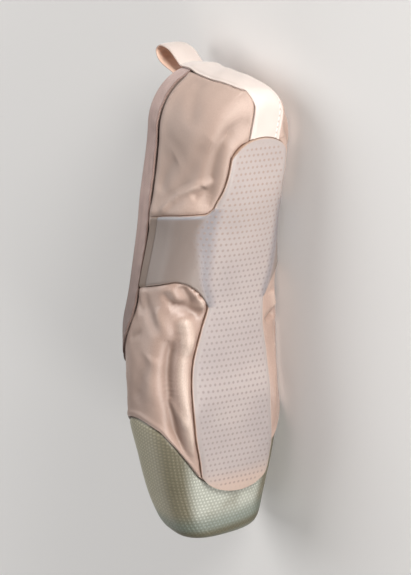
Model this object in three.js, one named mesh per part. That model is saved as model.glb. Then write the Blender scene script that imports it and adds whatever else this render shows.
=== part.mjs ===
// Left pointe shoe with a moulded outsole, lying on its inner side.
// Every piece is worked out from one last: a hollow upper, the outsole under it with a wing up each side,
// a toe cap let into the toe box, the collar's binding, a heel strip, a pull loop and an insole.
import * as THREE from 'three';

// Driving dimensions in millimetres. The last stands on its sole with its heel back at X 0, the toe along +X,
// the outer side of the foot along +Y and +Z up. The whole shoe is laid on its inner side at the end.
const SHOE_LENGTH = 240;
const HEEL_AXIS = 34;
const HEEL_SQUARENESS = 2;
const HEEL_LEAN = { forward: 4.8, from: -4, to: 12 };
const NOSE_START = 231;
const NOSE_END = 262;
const PLATFORM_RIM = 7;
const SOLE_PLANE_BLEND = 1.5;

// Layers, measured along the last's normal: outwards is positive.
const SEAM_GAP = 0.4;
const WALL = 2;
const CAP_RECESS = 1.3;
const CAP_OUTER = -0.1;
const CAP_INNER = -1;
const TREAD_THICKNESS = 2;
const TREAD_EDGE_THICKNESS = 1.3;
const TAPE_THICKNESS = 0.8;
const STRIP_THICKNESS = 0.8;
const LOOP_THICKNESS = 0.9;
const INSOLE_THICKNESS = 1.5;
const INSOLE_GAP = 0.6;
const TURNED_TAPE_GAP = 0.7;

// Sections of the last. at: distance from the heel back. mid: sideways place of the middle line.
// outer, inner: half widths. low, wide, top: heights of the bottom, the widest line and the ridge.
// nOut, nIn: superellipse powers of the lower half on each side. nTop: of the upper half.
const SECTIONS = [
  { at: 34, mid: 0, outer: 29.6, inner: 23, low: -3, wide: 19, top: 81, nOut: 2.6, nIn: 3, nTop: 2.15 },
  { at: 75, mid: 3, outer: 31, inner: 25.2, low: 2.5, wide: 22, top: 79, nOut: 2.5, nIn: 3, nTop: 2.3 },
  { at: 110, mid: 3, outer: 36, inner: 30.2, low: 5, wide: 22.5, top: 72, nOut: 2.5, nIn: 3.1, nTop: 2.2 },
  { at: 145, mid: 4.5, outer: 40, inner: 35.4, low: 2, wide: 21.5, top: 62, nOut: 2.6, nIn: 3.3, nTop: 2.2 },
  { at: 172, mid: 4.8, outer: 40, inner: 36.4, low: -3, wide: 20.5, top: 53, nOut: 2.8, nIn: 3.3, nTop: 2.3 },
  { at: 200, mid: 3, outer: 35.5, inner: 34.2, low: 0, wide: 18.5, top: 45, nOut: 2.8, nIn: 3, nTop: 2.5 },
  { at: 222, mid: 1, outer: 30, inner: 30.5, low: 2.5, wide: 18.5, top: 40, nOut: 2.7, nIn: 2.7, nTop: 2.7 },
  { at: 240, mid: -1, outer: 23, inner: 26.5, low: 4.5, wide: 17.5, top: 36, nOut: 2.6, nIn: 2.6, nTop: 2.7 },
];

// Collar edge. at: distance from the heel back. height: above the sole plane.
const COLLAR = [
  { at: 0, height: 56 },
  { at: 34, height: 53.5 },
  { at: 75, height: 48.5 },
  { at: 110, height: 46.5 },
  { at: 160, height: 49 },
];
const THROAT_START = 118;
const THROAT_END = 158;
const BINDING_OUTSIDE = 10;
const BINDING_INSIDE = 7;

// Edge of the toe cap. at: degrees round the section from the bottom centre to the ridge.
// edge: distance from the heel back.
const CAP_EDGE = [
  { at: 0, edge: 208 },
  { at: 20, edge: 202.5 },
  { at: 36, edge: 190.5 },
  { at: 50, edge: 181 },
  { at: 67, edge: 174.2 },
  { at: 88, edge: 172.2 },
  { at: 110, edge: 176 },
  { at: 140, edge: 186 },
  { at: 180, edge: 191 },
];
const LIP_RUN = 0.3;
const CAP_CLEARANCE = 0.8;

// Tread outline seen from above. at: distance from the heel back. outer, inner: sideways place of each edge.
const TREAD = [
  { at: 28, outer: 16.6, inner: -14.6 },
  { at: 42, outer: 17.6, inner: -15 },
  { at: 52, outer: 19.2, inner: -15 },
  { at: 61, outer: 22, inner: -16 },
  { at: 76, outer: 23.5, inner: -16.5 },
  { at: 98, outer: 23.5, inner: -15.5 },
  { at: 112, outer: 20.3, inner: -12.2 },
  { at: 124, outer: 23.4, inner: -12.4 },
  { at: 143, outer: 28.1, inner: -15.3 },
  { at: 160, outer: 28.9, inner: -17 },
  { at: 175, outer: 27.2, inner: -18.8 },
  { at: 193, outer: 22.4, inner: -20.8 },
  { at: 212, outer: 17.5, inner: -21 },
];
const TREAD_HEEL_ROUND = 10;
const TREAD_TOE_ROUND = 12;
const TREAD_TOE_SKEW = 1.5;
const TREAD_ACROSS = [-1, -0.95, -0.72, -0.4, 0, 0.4, 0.72, 0.95, 1];

// Rows of a wing. up: share of the height from the tread's edge to the wing's end.
// rear, front: its two edges. thickness: of the moulded sheet, with a thin lip at the end.
const WING_ROOT = { rear: 61, front: 112, thickness: 1.8 };
const WING_END_HEIGHT = 35.6;
const WING_FLAT_THICKNESS = 1.4;
const WING = [
  { up: 0.02, rear: 63.2, front: 106.2, thickness: 1.75 },
  { up: 0.05, rear: 64.6, front: 102.8, thickness: 1.7 },
  { up: 0.11, rear: 65.2, front: 100.4, thickness: 1.6 },
  { up: 0.2, rear: 66.1, front: 99.8, thickness: 1.5 },
  { up: 0.32, rear: 67.4, front: 101.2, thickness: WING_FLAT_THICKNESS },
  { up: 0.48, rear: 69, front: 103.4, thickness: WING_FLAT_THICKNESS },
  { up: 0.64, rear: 70.7, front: 105.4, thickness: WING_FLAT_THICKNESS },
  { up: 0.79, rear: 72.4, front: 107.3, thickness: WING_FLAT_THICKNESS },
  { up: 0.815, rear: 72.7, front: 107.6, thickness: 0.9 },
  { up: 1, rear: 74.8, front: 109.8, thickness: 0.9 },
];
const WING_STEPS = 8;

// Opening under the foot, kept inside the tread by a margin for the lasting.
const LASTING_MARGIN = 9;
const OPENING = { rear: 40, rearRound: 16, front: 197, frontRound: 26 };

// Insole outline: a share of the last's half width between two round ends.
const INSOLE_STEPS = 22;
const INSOLE = { rear: 10, rearRound: 24, front: 198, frontRound: 30, share: 0.7 };

// Heel strip: rows under the heel run from the sole's end to a straight line, the rest climb the heel.
// shift: how far the middle of the strip lies to the outer side.
const STRIP_HALF_WIDTH = 8.6;
const STRIP_UNDER = { end: 12, steps: 4, shiftAtSole: -1.6, shiftAtEnd: -3.8 };
const STRIP_CLIMB = [
  { height: 6.5, shift: -2.6 },
  { height: 9.5, shift: -1.2 },
  { height: 14, shift: 0 },
  { height: 19, shift: 0.9 },
  { height: 25, shift: 1.8 },
  { height: 32, shift: 2.2 },
  { height: 38.5, shift: 1.5 },
  { height: 43.2, shift: 0.5 },
];
const STRIP_OVER_BINDING = [44.8, 51, 57];
const STRIP_CORNER_STEPS = 5;
const STRIP_COLUMNS = 6;

// Pull loop: the ribbon's middle line in the plane of the heel, from the strip's end over to the inside.
const LOOP_WIDTH = 15;
const LOOP_SHIFT = -1.2;
const LOOP_SEAT_HEIGHT = 57;
const LOOP_TOP = 78;
const LOOP_TOP_CURVE = 0.4;
const LOOP_LINE = [
  { x: 8, z: 58.1 },
  { x: 5.5, z: 62.5 },
  { x: 3, z: 68.5 },
  { x: 3.2, z: 75 },
  { x: 6.6, z: LOOP_TOP },
  { x: 10.4, z: 75.4 },
  { x: 12.2, z: 70 },
  { x: 13.4, z: 63.5 },
  { x: 15.2, z: 57.6 },
  { x: 14.8, z: 53 },
  { x: 13.2, z: 48 },
];
const LOOP_STEPS = 26;
const LOOP_COLUMNS = 4;

// The floor under the inner side, level with the shoe's height: the soft wall is flattened where it lies.
const FLOOR_HEEL = { x: 25, y: -21.8 };
const FLOOR_BALL = { x: 150, y: -29.6 };
const FLOOR_BLEND = 0.8;
const FLOOR_RAMP = 12;

const OUTER = 1;
const INNER = -1;
const SIDES = [OUTER, INNER];
const WELD = 0.01;
const TINY = 1e-3;

const COLOURS = {
  satin: { color: 0xc4a898, roughness: 0.42, metalness: 0 },
  sole: { color: 0xb3a5a3, roughness: 0.4, metalness: 0 },
  cap: { color: 0xa4ab9b, roughness: 0.45, metalness: 0 },
  tape: { color: 0xb09c94, roughness: 0.75, metalness: 0 },
  ribbon: { color: 0xe8d9d0, roughness: 0.5, metalness: 0 },
  lining: { color: 0xd8b9a2, roughness: 0.85, metalness: 0 },
};

const clamp = (value, low, high) => Math.min(Math.max(value, low), high);
const mix = (from, to, share) => from + (to - from) * share;
const steps = (count) => Array.from({ length: count + 1 }, (_, i) => i / count);

// Smallest of two values with a rounded corner.
function softMin(a, b, round) {
  const near = Math.max(round - Math.abs(a - b), 0) / round;
  return Math.min(a, b) - (near * near * round) / 4;
}

// Smooth step from 0 to 1 that ends at a place and takes a run before it.
function rampAt(x, end, run) {
  const t = clamp((x - end) / run + 1, 0, 1);
  return t * t * (3 - 2 * t);
}

// Slope of a table's column at one row, without overshoot between rows.
function slopeAt(rows, name, i) {
  const secant = (k) => (rows[k + 1][name] - rows[k][name]) / (rows[k + 1].at - rows[k].at);
  if (i === 0) return 0;
  if (i === rows.length - 1) return secant(i - 1);
  const before = secant(i - 1);
  const after = secant(i);
  return before * after > 0 ? (2 * before * after) / (before + after) : 0;
}

// A table's column as a smooth curve, level before the first row and straight after the last.
function columnAt(rows, name, at) {
  const end = rows.length - 1;
  if (at <= rows[0].at) return rows[0][name];
  if (at >= rows[end].at) return rows[end][name] + slopeAt(rows, name, end) * (at - rows[end].at);
  const i = rows.findIndex((row) => row.at > at) - 1;
  const run = rows[i + 1].at - rows[i].at;
  const t = (at - rows[i].at) / run;
  const blend = t * t * (3 - 2 * t);
  const leave = t * (1 - t) * (1 - t) * run * slopeAt(rows, name, i);
  const arrive = t * t * (1 - t) * run * slopeAt(rows, name, i + 1);
  return mix(rows[i][name], rows[i + 1][name], blend) + leave - arrive;
}

// The last. A place on it has a side, a distance q from the heel back and an angle round the section:
// 0 at the bottom centre, a quarter turn at the widest line, a half turn at the ridge.
// Behind the heel axis the sections fan round that axis, and q 0 is the middle line of the heel's back.
function sectionAt(q) {
  const section = {};
  for (const name of Object.keys(SECTIONS[0])) {
    section[name] = columnAt(SECTIONS, name, Math.max(q, HEEL_AXIS));
  }
  const nose = clamp((q - NOSE_START) / (NOSE_END - NOSE_START), 0, 1);
  const shrink = Math.sqrt(1 - nose * nose);
  const middle = (section.low + section.top) / 2;
  for (const name of ['low', 'wide', 'top']) {
    section[name] = mix(middle, section[name], shrink);
  }
  section.outer *= shrink;
  section.inner *= shrink;
  return section;
}

const heelTurn = (q) => clamp(1 - q / HEEL_AXIS, 0, 1) * (Math.PI / 2);

// Power of the section's lower half. The two sides have the same one on the middle line of the heel's back.
function lowPower(side, q, section) {
  return side > 0 ? section.nOut : mix(section.nOut, section.nIn, clamp(q / HEEL_AXIS, 0, 1));
}

// Half width of the last at its widest line, or its reach from the heel axis.
function reachAt(side, q, section) {
  const width = side > 0 ? section.outer : section.inner;
  if (q >= HEEL_AXIS) return width;
  const sideways = (Math.cos(heelTurn(q)) / width) ** HEEL_SQUARENESS;
  const backwards = (Math.sin(heelTurn(q)) / HEEL_AXIS) ** HEEL_SQUARENESS;
  return (sideways + backwards) ** (-1 / HEEL_SQUARENESS);
}

// The heel's back leans forward towards the collar, so that it holds the foot.
function heelLean(behind, z) {
  const rise = rampAt(z, HEEL_LEAN.to, HEEL_LEAN.to - HEEL_LEAN.from);
  return HEEL_LEAN.forward * rise * (behind / HEEL_AXIS);
}

// How far to the inner side the last may reach: to the floor, or to the back of what lies on the floor there,
// the wing at the waist or the binding above it.
function innerLimit(x, z) {
  const share = (x - FLOOR_HEEL.x) / (FLOOR_BALL.x - FLOOR_HEEL.x);
  const wing = rampAt(x, WING_ROOT.rear, FLOOR_RAMP) * rampAt(-x, -WING_ROOT.front, FLOOR_RAMP);
  const binding = rampAt(z, WING_END_HEIGHT, FLOOR_RAMP);
  const backing = Math.max(wing * WING_FLAT_THICKNESS, binding * TAPE_THICKNESS);
  return mix(FLOOR_HEEL.y, FLOOR_BALL.y, share) + Math.max(wing, binding) * SEAM_GAP + backing;
}

function lastPoint({ side, q, angle }) {
  const section = sectionAt(q);
  const isLow = angle <= Math.PI / 2;
  const power = 2 / (isLow ? lowPower(side, q, section) : section.nTop);
  const out = reachAt(side, q, section) * Math.max(Math.sin(angle), 0) ** power;
  const rise = Math.abs(Math.cos(angle)) ** power;
  const turn = heelTurn(q);
  const y = section.mid + side * out * Math.cos(turn);
  const z = mix(section.wide, isLow ? section.low : section.top, rise);
  const behind = out * Math.sin(turn);
  const x = Math.max(q, HEEL_AXIS) - behind + heelLean(behind, z);
  return new THREE.Vector3(
    softMin(x, SHOE_LENGTH, PLATFORM_RIM),
    -softMin(-y, -innerLimit(x, z), FLOOR_BLEND),
    -softMin(-z, 0, SOLE_PLANE_BLEND),
  );
}

function lastNormal({ side, q, angle }) {
  if (q >= NOSE_END) return new THREE.Vector3(1, 0, 0);
  if (q <= HEEL_AXIS && angle < TINY) return new THREE.Vector3(0, 0, -1);
  const pointAt = (nearQ, nearAngle) => lastPoint({ side, q: nearQ, angle: nearAngle });
  const forward = pointAt(Math.min(q + TINY, NOSE_END), angle).sub(pointAt(Math.max(q - TINY, 0), angle));
  const upward = pointAt(q, Math.min(angle + TINY, Math.PI)).sub(pointAt(q, Math.max(angle - TINY, 0)));
  const normal = upward.cross(forward).multiplyScalar(side);
  const isMiddle = q === 0 || angle < TINY || angle > Math.PI - TINY;
  if (isMiddle) normal.y = 0;
  return normal.normalize();
}

const pointOff = (place, offset) => lastPoint(place).addScaledVector(lastNormal(place), offset);

function angleAtHeight(side, q, height) {
  const section = sectionAt(q);
  if (height < section.wide) {
    const share = clamp((section.wide - height) / (section.wide - section.low), 0, 1);
    return Math.acos(share ** (lowPower(side, q, section) / 2));
  }
  const share = clamp((height - section.wide) / (section.top - section.wide), 0, 1);
  return Math.PI - Math.acos(share ** (section.nTop / 2));
}

// Place on the underside below a point of the plan.
function placeUnder(x, y) {
  const section = sectionAt(Math.max(x, HEEL_AXIS));
  const across = Math.abs(y - section.mid);
  const side = y < section.mid ? INNER : OUTER;
  const behind = Math.max(HEEL_AXIS - x, 0);
  const turn = behind > 0 ? Math.atan2(behind, across) : 0;
  const q = behind > 0 ? HEEL_AXIS * (1 - turn / (Math.PI / 2)) : x;
  const share = Math.hypot(behind, across) / reachAt(side, q, section);
  return { side, q, angle: Math.asin(Math.min(share, 1) ** (lowPower(side, q, section) / 2)) };
}

// A row of places on the last, ready for a sheet.
const shaped = (place) => ({ ...place, point: lastPoint(place), normal: lastNormal(place) });
const onLast = (row) => row.map(shaped);

// Closed sheet between two offsets, top and bottom, of a surface that is given as blocks of rows of points
// with normals. Blocks that share points are welded, and the open rim is walled.
function sheetGeometry(blocks) {
  const bases = [];
  const normals = [];
  const tops = [];
  const bottoms = [];
  const faces = [];

  const vertexAt = ({ point, normal, top, bottom }) => {
    const known = bases.findIndex((base) => base.distanceTo(point) < WELD);
    if (known >= 0) return known;
    normals.push(normal);
    tops.push(point.clone().addScaledVector(normal, top));
    bottoms.push(point.clone().addScaledVector(normal, bottom));
    return bases.push(point) - 1;
  };

  const addFace = (a, b, c) => {
    if (a === b || b === c || a === c) return;
    const facing = new THREE.Triangle(bases[a], bases[b], bases[c]).getNormal(new THREE.Vector3());
    const outward = normals[a].clone().add(normals[b]).add(normals[c]);
    faces.push(facing.dot(outward) > 0 ? [a, b, c] : [a, c, b]);
  };

  for (const block of blocks) {
    const grid = block.map((row) => row.map(vertexAt));
    for (let i = 0; i + 1 < grid.length; i += 1) {
      for (let j = 0; j + 1 < grid[i].length; j += 1) {
        addFace(grid[i][j], grid[i][j + 1], grid[i + 1][j + 1]);
        addFace(grid[i][j], grid[i + 1][j + 1], grid[i + 1][j]);
      }
    }
  }

  const below = tops.length;
  const index = [];
  const edges = new Set(faces.flatMap(([a, b, c]) => [`${a},${b}`, `${b},${c}`, `${c},${a}`]));
  for (const [a, b, c] of faces) {
    index.push(a, b, c, below + a, below + c, below + b);
  }
  for (const edge of edges) {
    const [a, b] = edge.split(',').map(Number);
    if (!edges.has(`${b},${a}`)) {
      index.push(b, a, below + a, b, below + a, below + b);
    }
  }
  return indexedGeometry([...tops, ...bottoms], index);
}

function indexedGeometry(points, index) {
  const geometry = new THREE.BufferGeometry();
  const values = points.flatMap((point) => point.toArray());
  geometry.setAttribute('position', new THREE.Float32BufferAttribute(values, 3));
  geometry.setIndex(index);
  geometry.computeVertexNormals();
  return geometry;
}

// Collar line, lowered along the wall by a drop. share runs from 0 at the heel's back to 1 where the
// throat begins, and on to 2 at the throat's front.
function collarPlace(side, share, drop) {
  const around = clamp(share - 1, 0, 1) * (Math.PI / 2);
  const reach = THROAT_END + drop - THROAT_START;
  const q = share < 1 ? share * THROAT_START : THROAT_START + reach * Math.sin(around);
  const wall = angleAtHeight(side, q, columnAt(COLLAR, 'height', q) - drop);
  return { side, q, angle: mix(wall, Math.PI, 1 - Math.cos(around)) };
}

// Upper: lines across the shell, each with its distance from the heel as a function of the angle.
const capEdge = (angle) => columnAt(CAP_EDGE, 'edge', (angle * 180) / Math.PI);
const straightLine = (q) => () => q;
const lineToCap = (from, share) => (angle) => mix(from, capEdge(angle), share);
const linePastCap = (past, to, share) => (angle) => mix(capEdge(angle) + past, to, share);

const HEEL_LINES = steps(6).map((share) => share * HEEL_AXIS);
const WAIST_LINES = steps(7).slice(1).map((share) => mix(HEEL_AXIS, THROAT_START, share));
const THROAT_LINES = steps(10).slice(1).map((share) => collarPlace(OUTER, 1 + share, 0).q);
const VAMP_SHARES = steps(4).slice(1);
const BOX_SHARES = steps(4);
const NOSE_SHARES = [0.13, 0.26, 0.39, 0.52, 0.7, 0.88, 1];
const WALL_ROWS = steps(16);

const boxLines = (past) => [
  ...BOX_SHARES.map((share) => linePastCap(past, NOSE_START, share)),
  ...NOSE_SHARES.map((share) => straightLine(mix(NOSE_START, NOSE_END, share))),
];

function collarAngle(side, q) {
  if (q >= THROAT_END) return Math.PI;
  const sine = (q - THROAT_START) / (THROAT_END - THROAT_START);
  const share = q < THROAT_START ? q / THROAT_START : 1 + Math.asin(sine) / (Math.PI / 2);
  return collarPlace(side, share, 0).angle;
}

// Angle of the lasted edge under the foot, 0 where the bottom is closed.
function openingAngle(side, q) {
  if (q <= OPENING.rear || q >= OPENING.front) return 0;
  const section = sectionAt(q);
  const edge = columnAt(TREAD, side > 0 ? 'outer' : 'inner', q);
  const half = Math.abs(edge - section.mid) - LASTING_MARGIN;
  const rear = Math.min((q - OPENING.rear) / OPENING.rearRound, 1);
  const front = Math.min((OPENING.front - q) / OPENING.frontRound, 1);
  const close = Math.sin((rear * Math.PI) / 2) * Math.sin((front * Math.PI) / 2);
  return Math.asin(((half * close) / reachAt(side, q, section)) ** (lowPower(side, q, section) / 2));
}

// One line across the shell on one side, from its lower to its upper edge.
function shellRow(side, line, top, bottom) {
  const SETTLING = 12;
  const row = WALL_ROWS.map((share) => {
    let angle = share * Math.PI;
    for (let i = 0; i < SETTLING; i += 1) {
      const q = line(angle);
      angle = mix(openingAngle(side, q), collarAngle(side, q), share);
    }
    return { side, q: line(angle), angle, top, bottom };
  });
  return onLast(row);
}

function upperGeometry() {
  const open = [...HEEL_LINES, ...WAIST_LINES, ...THROAT_LINES].map(straightLine);
  const vamp = VAMP_SHARES.map((share) => lineToCap(THROAT_END, share));
  const blocks = SIDES.map((side) => [
    ...[...open, ...vamp].map((line) => shellRow(side, line, 0, -WALL)),
    ...boxLines(LIP_RUN).map((line) => shellRow(side, line, -CAP_RECESS, -CAP_RECESS - WALL)),
  ]);
  return sheetGeometry(blocks);
}

function capGeometry() {
  const rows = (side) => boxLines(CAP_CLEARANCE).map((line) => shellRow(side, line, CAP_OUTER, CAP_INNER));
  return sheetGeometry(SIDES.map(rows));
}

// Outsole: the tread and both wings are one sheet. Its rows run across, from the inner to the outer edge.
const treadHeel = TREAD[0].at;
const treadToe = TREAD[TREAD.length - 1].at;
const roundEnd = (across) => Math.sqrt(Math.max(1 - across * across, 0));
const treadRear = (across) => treadHeel + TREAD_HEEL_ROUND * (1 - roundEnd(across));
const treadFront = (across) => treadToe - TREAD_TOE_ROUND * (1 - roundEnd(across)) - TREAD_TOE_SKEW * across;

function treadPlace(x, across) {
  const outer = columnAt(TREAD, 'outer', x);
  const inner = columnAt(TREAD, 'inner', x);
  const isEdge = Math.abs(across) === 1;
  const isRoot = x > WING_ROOT.rear && x < WING_ROOT.front;
  const edgeThickness = isRoot ? WING_ROOT.thickness : TREAD_EDGE_THICKNESS;
  const top = SEAM_GAP + (isEdge ? edgeThickness : TREAD_THICKNESS);
  return { ...placeUnder(x, mix(inner, outer, (across + 1) / 2)), top, bottom: SEAM_GAP };
}

function wingRows(side) {
  const { rear, front } = WING_ROOT;
  const root = steps(WING_STEPS).map((share) => treadPlace(mix(rear, front, share), side));
  const rows = WING.map((row) =>
    steps(WING_STEPS).map((share) => {
      const q = mix(row.rear, row.front, share);
      const rootHeight = lastPoint(treadPlace(q, side)).z;
      const angle = angleAtHeight(side, q, mix(rootHeight, WING_END_HEIGHT, row.up));
      return { side, q, angle, top: SEAM_GAP + row.thickness, bottom: SEAM_GAP };
    }),
  );
  return [root, ...rows].map(onLast);
}

function outsoleGeometry() {
  const heel = steps(5).map((share) => (across) => mix(treadRear(across), WING_ROOT.rear, share));
  const waist = steps(WING_STEPS).map((share) => () => mix(WING_ROOT.rear, WING_ROOT.front, share));
  const fore = steps(12).map((share) => (across) => mix(WING_ROOT.front, treadFront(across), share));
  const lines = [...heel, ...waist.slice(1), ...fore.slice(1)];
  const tread = lines.map((line) => onLast(TREAD_ACROSS.map((across) => treadPlace(line(across), across))));
  return sheetGeometry([tread, ...SIDES.map(wingRows)]);
}

function insoleGeometry() {
  const top = -WALL - INSOLE_GAP;
  const bottom = top - INSOLE_THICKNESS;
  const place = (share, across) => {
    const rear = INSOLE.rear + INSOLE.rearRound * (1 - roundEnd(across));
    const front = INSOLE.front - INSOLE.frontRound * (1 - roundEnd(across));
    const x = mix(rear, front, share);
    const section = sectionAt(Math.max(x, HEEL_AXIS));
    const half = INSOLE.share * (across > 0 ? section.outer : section.inner);
    return { ...placeUnder(x, section.mid + across * half), top, bottom };
  };
  const rows = steps(INSOLE_STEPS).map((share) => TREAD_ACROSS.map((across) => place(share, across)));
  return sheetGeometry([rows.map(onLast)]);
}

// Binding: a tape folded over the collar's edge, all the way round.
function bindingGeometry() {
  const out = SEAM_GAP + TAPE_THICKNESS;
  const inside = -WALL - TURNED_TAPE_GAP;
  const insideFace = inside - TAPE_THICKNESS;
  const profile = [
    { drop: BINDING_OUTSIDE, offset: out },
    { drop: BINDING_OUTSIDE / 2, offset: out },
    { drop: -out, offset: out },
    { drop: -out, offset: insideFace },
    { drop: BINDING_INSIDE, offset: insideFace },
    { drop: BINDING_INSIDE, offset: inside },
    { drop: BINDING_INSIDE / 2, offset: inside },
    { drop: -SEAM_GAP, offset: inside },
    { drop: -SEAM_GAP, offset: SEAM_GAP },
    { drop: BINDING_OUTSIDE / 2, offset: SEAM_GAP },
    { drop: BINDING_OUTSIDE, offset: SEAM_GAP },
  ];
  const wallShares = [...HEEL_LINES, ...WAIST_LINES].map((q) => q / THROAT_START);
  const shares = [...wallShares, ...steps(THROAT_LINES.length).slice(1).map((share) => 1 + share)];
  const stations = [
    ...shares.map((share) => ({ side: OUTER, share })),
    ...shares.slice(1, -1).reverse().map((share) => ({ side: INNER, share })),
  ];
  const points = stations.flatMap(({ side, share }) =>
    profile.map(({ drop, offset }) => pointOff(collarPlace(side, share, drop), offset)),
  );
  const at = (i, j) => (i % stations.length) * profile.length + (j % profile.length);
  const index = [];
  for (let i = 0; i < stations.length; i += 1) {
    for (let j = 0; j < profile.length; j += 1) {
      index.push(at(i, j), at(i, j + 1), at(i + 1, j + 1), at(i, j), at(i + 1, j + 1), at(i + 1, j));
    }
  }
  return indexedGeometry(points, index);
}

// Place on the back of the heel at a height and a sideways distance from its middle line.
function placeBehind(height, y) {
  const HALVINGS = 30;
  const side = y < 0 ? INNER : OUTER;
  const placeAt = (q) => ({ side, q, angle: angleAtHeight(side, q, height) });
  let near = 0;
  let far = HEEL_AXIS;
  for (let i = 0; i < HALVINGS; i += 1) {
    const q = (near + far) / 2;
    const isShort = Math.abs(lastPoint(placeAt(q)).y) < Math.abs(y);
    near = isShort ? q : near;
    far = isShort ? far : q;
  }
  return placeAt(near);
}

// Place between two places of the heel, which may lie on either side of its middle line.
function placeBetween(a, b, share) {
  const q = mix(a.side * a.q, b.side * b.q, share);
  return { side: q < 0 ? INNER : OUTER, q: Math.abs(q), angle: mix(a.angle, b.angle, share) };
}

function stripGeometry() {
  const columns = steps(STRIP_COLUMNS).map((share) => mix(-STRIP_HALF_WIDTH, STRIP_HALF_WIDTH, share));
  const onWall = { top: SEAM_GAP + STRIP_THICKNESS, bottom: SEAM_GAP };
  const lift = TAPE_THICKNESS + SEAM_GAP;
  const onTape = { top: onWall.top + lift, bottom: onWall.bottom + lift };
  const soleEnd = (y) => {
    const middle = (TREAD[0].outer + TREAD[0].inner) / 2;
    return treadRear((y - middle) / (TREAD[0].outer - middle)) - SEAM_GAP - TINY;
  };
  const under = steps(STRIP_UNDER.steps).map((share) =>
    columns.map((column) => {
      const y = column + mix(STRIP_UNDER.shiftAtSole, STRIP_UNDER.shiftAtEnd, share);
      return { ...placeUnder(mix(soleEnd(y), STRIP_UNDER.end, share), y), ...onWall };
    }),
  );
  const climb = STRIP_CLIMB.map(({ height, shift }) =>
    columns.map((column) => ({ ...placeBehind(height, column + shift), ...onWall })),
  );
  const corner = steps(STRIP_CORNER_STEPS).slice(1, -1).map((share) =>
    columns.map((_, i) => ({ ...placeBetween(under.at(-1)[i], climb[0][i], share), ...onWall })),
  );
  const over = STRIP_OVER_BINDING.map((height) =>
    columns.map((column) => ({ ...placeBehind(height, column + LOOP_SHIFT), ...onTape })),
  );
  return sheetGeometry([[...under, ...corner, ...climb, ...over].map(onLast)]);
}

// Pull loop: a ribbon bent over in the plane of the heel, curved across like the heel where it is sewn on.
function loopGeometry() {
  const line = new THREE.CatmullRomCurve3(LOOP_LINE.map(({ x, z }) => new THREE.Vector3(x, 0, z)));
  const half = LOOP_THICKNESS / 2;
  const seatX = (y) => lastPoint(placeBehind(LOOP_SEAT_HEIGHT, y)).x;
  const heelDepth = (y) => seatX(y) - seatX(0);
  const rows = steps(LOOP_STEPS).map((share) => {
    const middle = line.getPointAt(share);
    const tangent = line.getTangentAt(share);
    const normal = new THREE.Vector3(-tangent.z, 0, tangent.x);
    const rise = clamp((middle.z - LOOP_SEAT_HEIGHT) / (LOOP_TOP - LOOP_SEAT_HEIGHT), 0, 1);
    const curve = mix(1, LOOP_TOP_CURVE, rise);
    return steps(LOOP_COLUMNS).map((across) => {
      const y = LOOP_SHIFT + LOOP_WIDTH * (across - 0.5);
      const point = new THREE.Vector3(middle.x + curve * heelDepth(y), y, middle.z);
      return { point, normal, top: half, bottom: -half };
    });
  });
  return sheetGeometry([rows]);
}

// The shoe, with one mesh for each piece.
const PIECES = [
  { name: 'outsole', geometry: outsoleGeometry(), look: COLOURS.sole },
  { name: 'upper', geometry: upperGeometry(), look: COLOURS.satin },
  { name: 'toe_cap', geometry: capGeometry(), look: COLOURS.cap },
  { name: 'collar_binding', geometry: bindingGeometry(), look: COLOURS.tape },
  { name: 'heel_strip', geometry: stripGeometry(), look: COLOURS.ribbon },
  { name: 'pull_loop', geometry: loopGeometry(), look: COLOURS.ribbon },
  { name: 'insole', geometry: insoleGeometry(), look: COLOURS.lining },
];

const shoe = new THREE.Group();
for (const { name, geometry, look } of PIECES) {
  const mesh = new THREE.Mesh(geometry, new THREE.MeshStandardMaterial(look));
  mesh.name = name;
  shoe.add(mesh);
}

// Laid on its inner side: the toe along -X, the top of the foot along +Y and the outer side up.
const laid = new THREE.Group();
laid.add(shoe);
const slope = Math.atan2(FLOOR_BALL.y - FLOOR_HEEL.y, FLOOR_BALL.x - FLOOR_HEEL.x);
const toeToHeel = new THREE.Vector3(-Math.cos(slope), -Math.sin(slope), 0);
const footTop = new THREE.Vector3(0, 0, 1);
const offFloor = new THREE.Vector3().crossVectors(toeToHeel, footTop);
laid.rotation.setFromRotationMatrix(new THREE.Matrix4().makeBasis(toeToHeel, footTop, offFloor).transpose());

// The origin is under the middle of the shoe, on the floor.
const part = new THREE.Group();
part.add(laid);
part.updateMatrixWorld(true);
const box = new THREE.Box3().setFromObject(part, true);
const middle = box.getCenter(new THREE.Vector3());
laid.position.set(-middle.x, -middle.y, -box.min.z);

export default part;
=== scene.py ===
"""Looks of a left pointe shoe with a moulded outsole. It lies on its inner side on a pale floor."""
import math

import bmesh
import bpy
import numpy as np
from mathutils import Matrix, Vector


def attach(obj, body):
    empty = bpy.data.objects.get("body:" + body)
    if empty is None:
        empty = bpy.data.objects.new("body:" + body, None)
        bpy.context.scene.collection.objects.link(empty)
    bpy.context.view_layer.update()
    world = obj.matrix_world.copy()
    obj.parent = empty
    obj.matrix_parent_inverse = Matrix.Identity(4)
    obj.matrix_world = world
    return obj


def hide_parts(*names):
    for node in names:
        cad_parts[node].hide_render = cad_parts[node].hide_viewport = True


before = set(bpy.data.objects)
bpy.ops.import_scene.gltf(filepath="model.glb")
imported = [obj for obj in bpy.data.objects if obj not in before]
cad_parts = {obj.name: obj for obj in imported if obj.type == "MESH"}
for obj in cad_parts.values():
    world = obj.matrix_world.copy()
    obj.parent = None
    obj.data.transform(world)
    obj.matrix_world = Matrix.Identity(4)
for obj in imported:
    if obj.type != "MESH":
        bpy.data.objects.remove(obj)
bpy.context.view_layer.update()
scene = bpy.context.scene

OUTER = 1
INNER = -1
SIDES = (OUTER, INNER)
MM = 0.001
FAR = 1e3

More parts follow.
